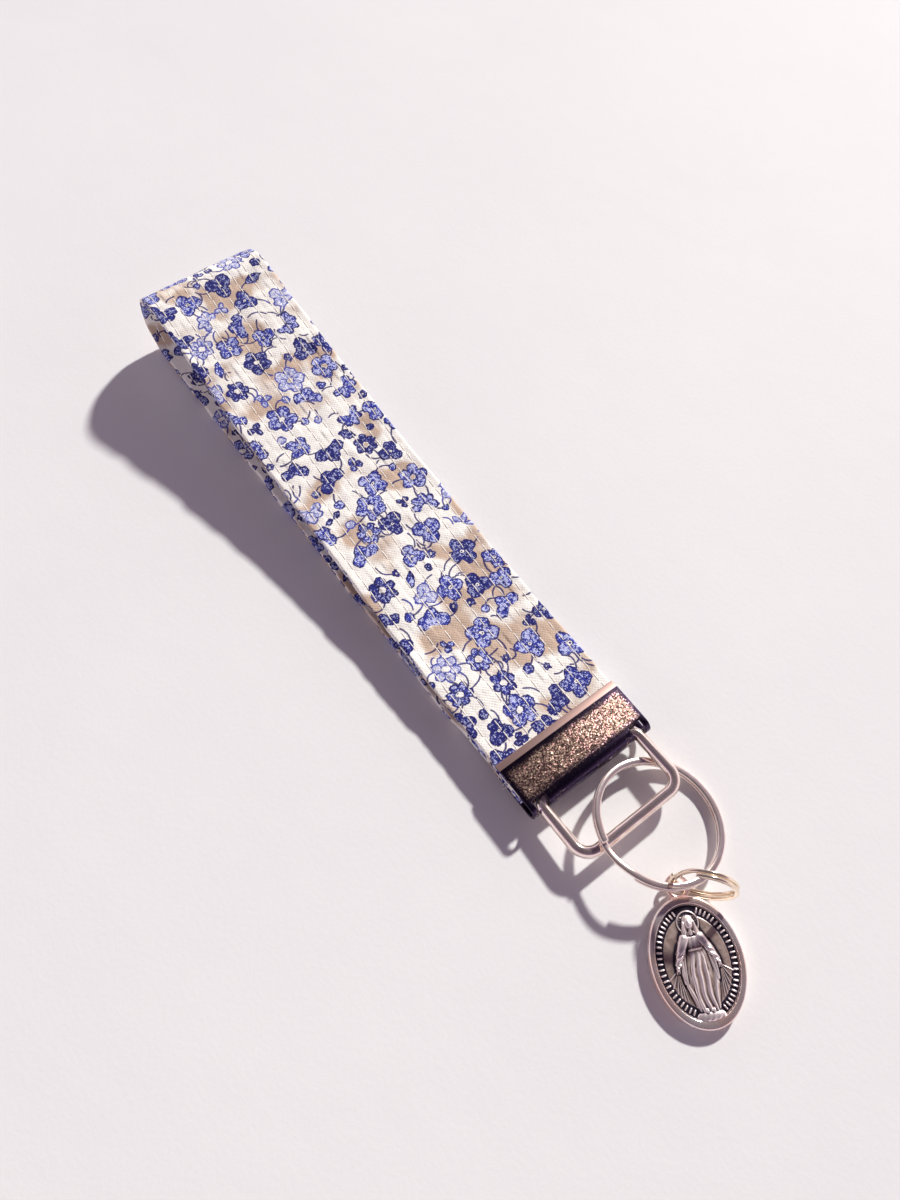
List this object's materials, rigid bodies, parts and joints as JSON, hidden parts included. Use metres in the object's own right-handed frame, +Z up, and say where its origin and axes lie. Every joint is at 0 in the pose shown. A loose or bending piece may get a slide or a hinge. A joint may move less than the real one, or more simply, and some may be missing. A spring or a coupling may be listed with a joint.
{
  "type": "wristlet keychain",
  "caption": "Stitched cotton wrist strap folded into a loop, crimped in a metal clamp, with a hinged wire bail, split rings and an oval medal.",
  "frame": {"origin": "on the surface that the strap lies on, in the middle of the strap's width and 72 mm from the clamp, near the middle of the loop", "axes": "+Z up, +X along the strap towards the clamp and the rings, +Y across the strap"},
  "size_m": [0.2126, 0.0354, 0.0197],
  "materials": {
    "cotton_cover": "printed quilting cotton, cream with a dense small floral print in royal and navy blue",
    "core": "white fusible fleece and interfacing",
    "thread": "cream spun polyester sewing thread",
    "clamp_plate": "plated steel sheet in a dark bronze brown with a fine sparkling grain and smooth darker borders",
    "bail_wire": "nickel plated steel wire, smooth and bright",
    "key_ring_wire": "nickel plated spring steel wire, smooth and bright",
    "small_ring_wire": "nickel plated spring steel wire with a warm tint",
    "medal_metal": "cast medal alloy, oxidised dark in its hollows and polished on its raised parts"
  },
  "bodies": {
    "strap": {"strap_cover": "cotton_cover", "strap_core": "core", "needle_thread_1": "thread", "needle_thread_2": "thread", "needle_thread_3": "thread", "needle_thread_4": "thread", "needle_thread_5": "thread", "needle_thread_6": "thread", "needle_thread_7": "thread", "needle_thread_8": "thread", "bobbin_thread_1": "thread", "bobbin_thread_2": "thread", "bobbin_thread_3": "thread", "bobbin_thread_4": "thread", "bobbin_thread_5": "thread", "bobbin_thread_6": "thread", "bobbin_thread_7": "thread", "bobbin_thread_8": "thread", "clamp": "clamp_plate"},
    "bail": {"bail": "bail_wire"},
    "key_ring": {"key_ring": "key_ring_wire"},
    "small_ring": {"small_ring": "small_ring_wire"},
    "medal": {"medal": "medal_metal"}
  },
  "joints": [
    {"name": "bail_hinge", "type": "hinge", "parent": "strap", "child": "bail", "pos_m": [0.0828, 0, 0.004], "axis": [0, -1, 0], "range_deg": [-40, 35]},
    {"name": "key_ring_swing", "type": "hinge", "parent": "bail", "child": "key_ring", "pos_m": [0.09719, 0, 0.0045], "axis": [0, -1, 0], "range_deg": [0, 120]},
    {"name": "small_ring_swing", "type": "hinge", "parent": "key_ring", "child": "small_ring", "pos_m": [0.11308, 0.00025, 0.00488], "axis": [0.2906, 0.9315, -0.2189], "range_deg": [-50, 50]},
    {"name": "medal_swing", "type": "hinge", "parent": "small_ring", "child": "medal", "pos_m": [0.11157, -0.00129, 0.00218], "axis": [-0.5962, -0.3989, 0.6967], "range_deg": [-60, 8]}
  ]
}
